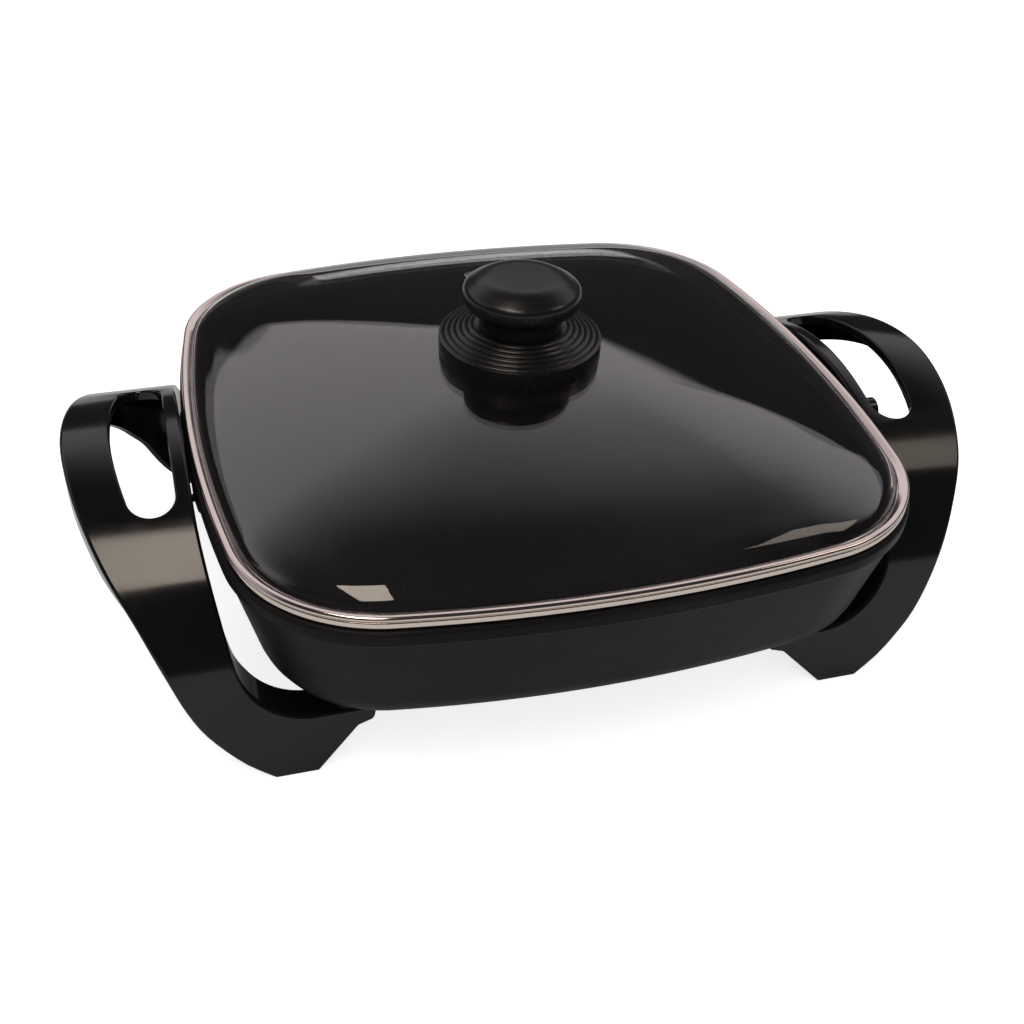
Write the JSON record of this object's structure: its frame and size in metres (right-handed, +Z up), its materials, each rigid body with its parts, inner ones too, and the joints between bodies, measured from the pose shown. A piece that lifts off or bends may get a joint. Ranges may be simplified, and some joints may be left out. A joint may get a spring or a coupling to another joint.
{
  "type": "electric skillet",
  "caption": "Square electric skillet with a lift-off domed glass lid, a central knob, two moulded side handles that also form the feet, and a socket for a plug-in control.",
  "frame": {"origin": "on the table under the knob, midway between the four feet", "axes": "+Z up, +X towards the handle with the control's socket, +Y away from the front"},
  "size_m": [0.4332, 0.3226, 0.1726],
  "materials": {
    "pan_coating": "cast aluminium under a dark matte non-stick coating",
    "element_sheath": "heat-darkened metal sheath",
    "pin_metal": "plated metal",
    "pin_ceramic": "off-white steatite ceramic",
    "guard_metal": "satin metal",
    "screw_steel": "plated steel",
    "handle_phenolic": "black moulded phenolic, soft gloss",
    "rim_steel": "polished stainless steel",
    "lid_glass": "clear tempered glass",
    "eyelet_steel": "polished stainless steel",
    "knob_phenolic": "black moulded phenolic, satin",
    "gasket_rubber": "grey silicone rubber",
    "insert_brass": "bare brass"
  },
  "bodies": {
    "base": {"pan_body": "pan_coating", "heating_element": "element_sheath", "terminal_pin_front": "pin_metal", "terminal_pin_rear": "pin_metal", "pin_insulator_front": "pin_ceramic", "pin_insulator_rear": "pin_ceramic", "probe_guard": "guard_metal", "guard_screws": "screw_steel", "handle_left": "handle_phenolic", "handle_right": "handle_phenolic", "strap_screws_left": "screw_steel", "strap_screws_right": "screw_steel", "arm_screws_left": "screw_steel", "arm_screws_right": "screw_steel", "arm_washers_left": "screw_steel", "arm_washers_right": "screw_steel"},
    "lid": {"lid_glass": "lid_glass", "rim_band": "rim_steel", "vent_eyelet": "eyelet_steel", "knob_skirt": "knob_phenolic", "upper_gasket": "gasket_rubber", "lower_gasket": "gasket_rubber", "knob_washer": "screw_steel", "knob": "knob_phenolic", "knob_insert": "insert_brass", "knob_screw": "screw_steel"}
  },
  "joints": [
    {"name": "lid_lift", "type": "slide", "parent": "base", "child": "lid", "axis": [0, 0, 1], "range_m": [0, 0.12]}
  ]
}
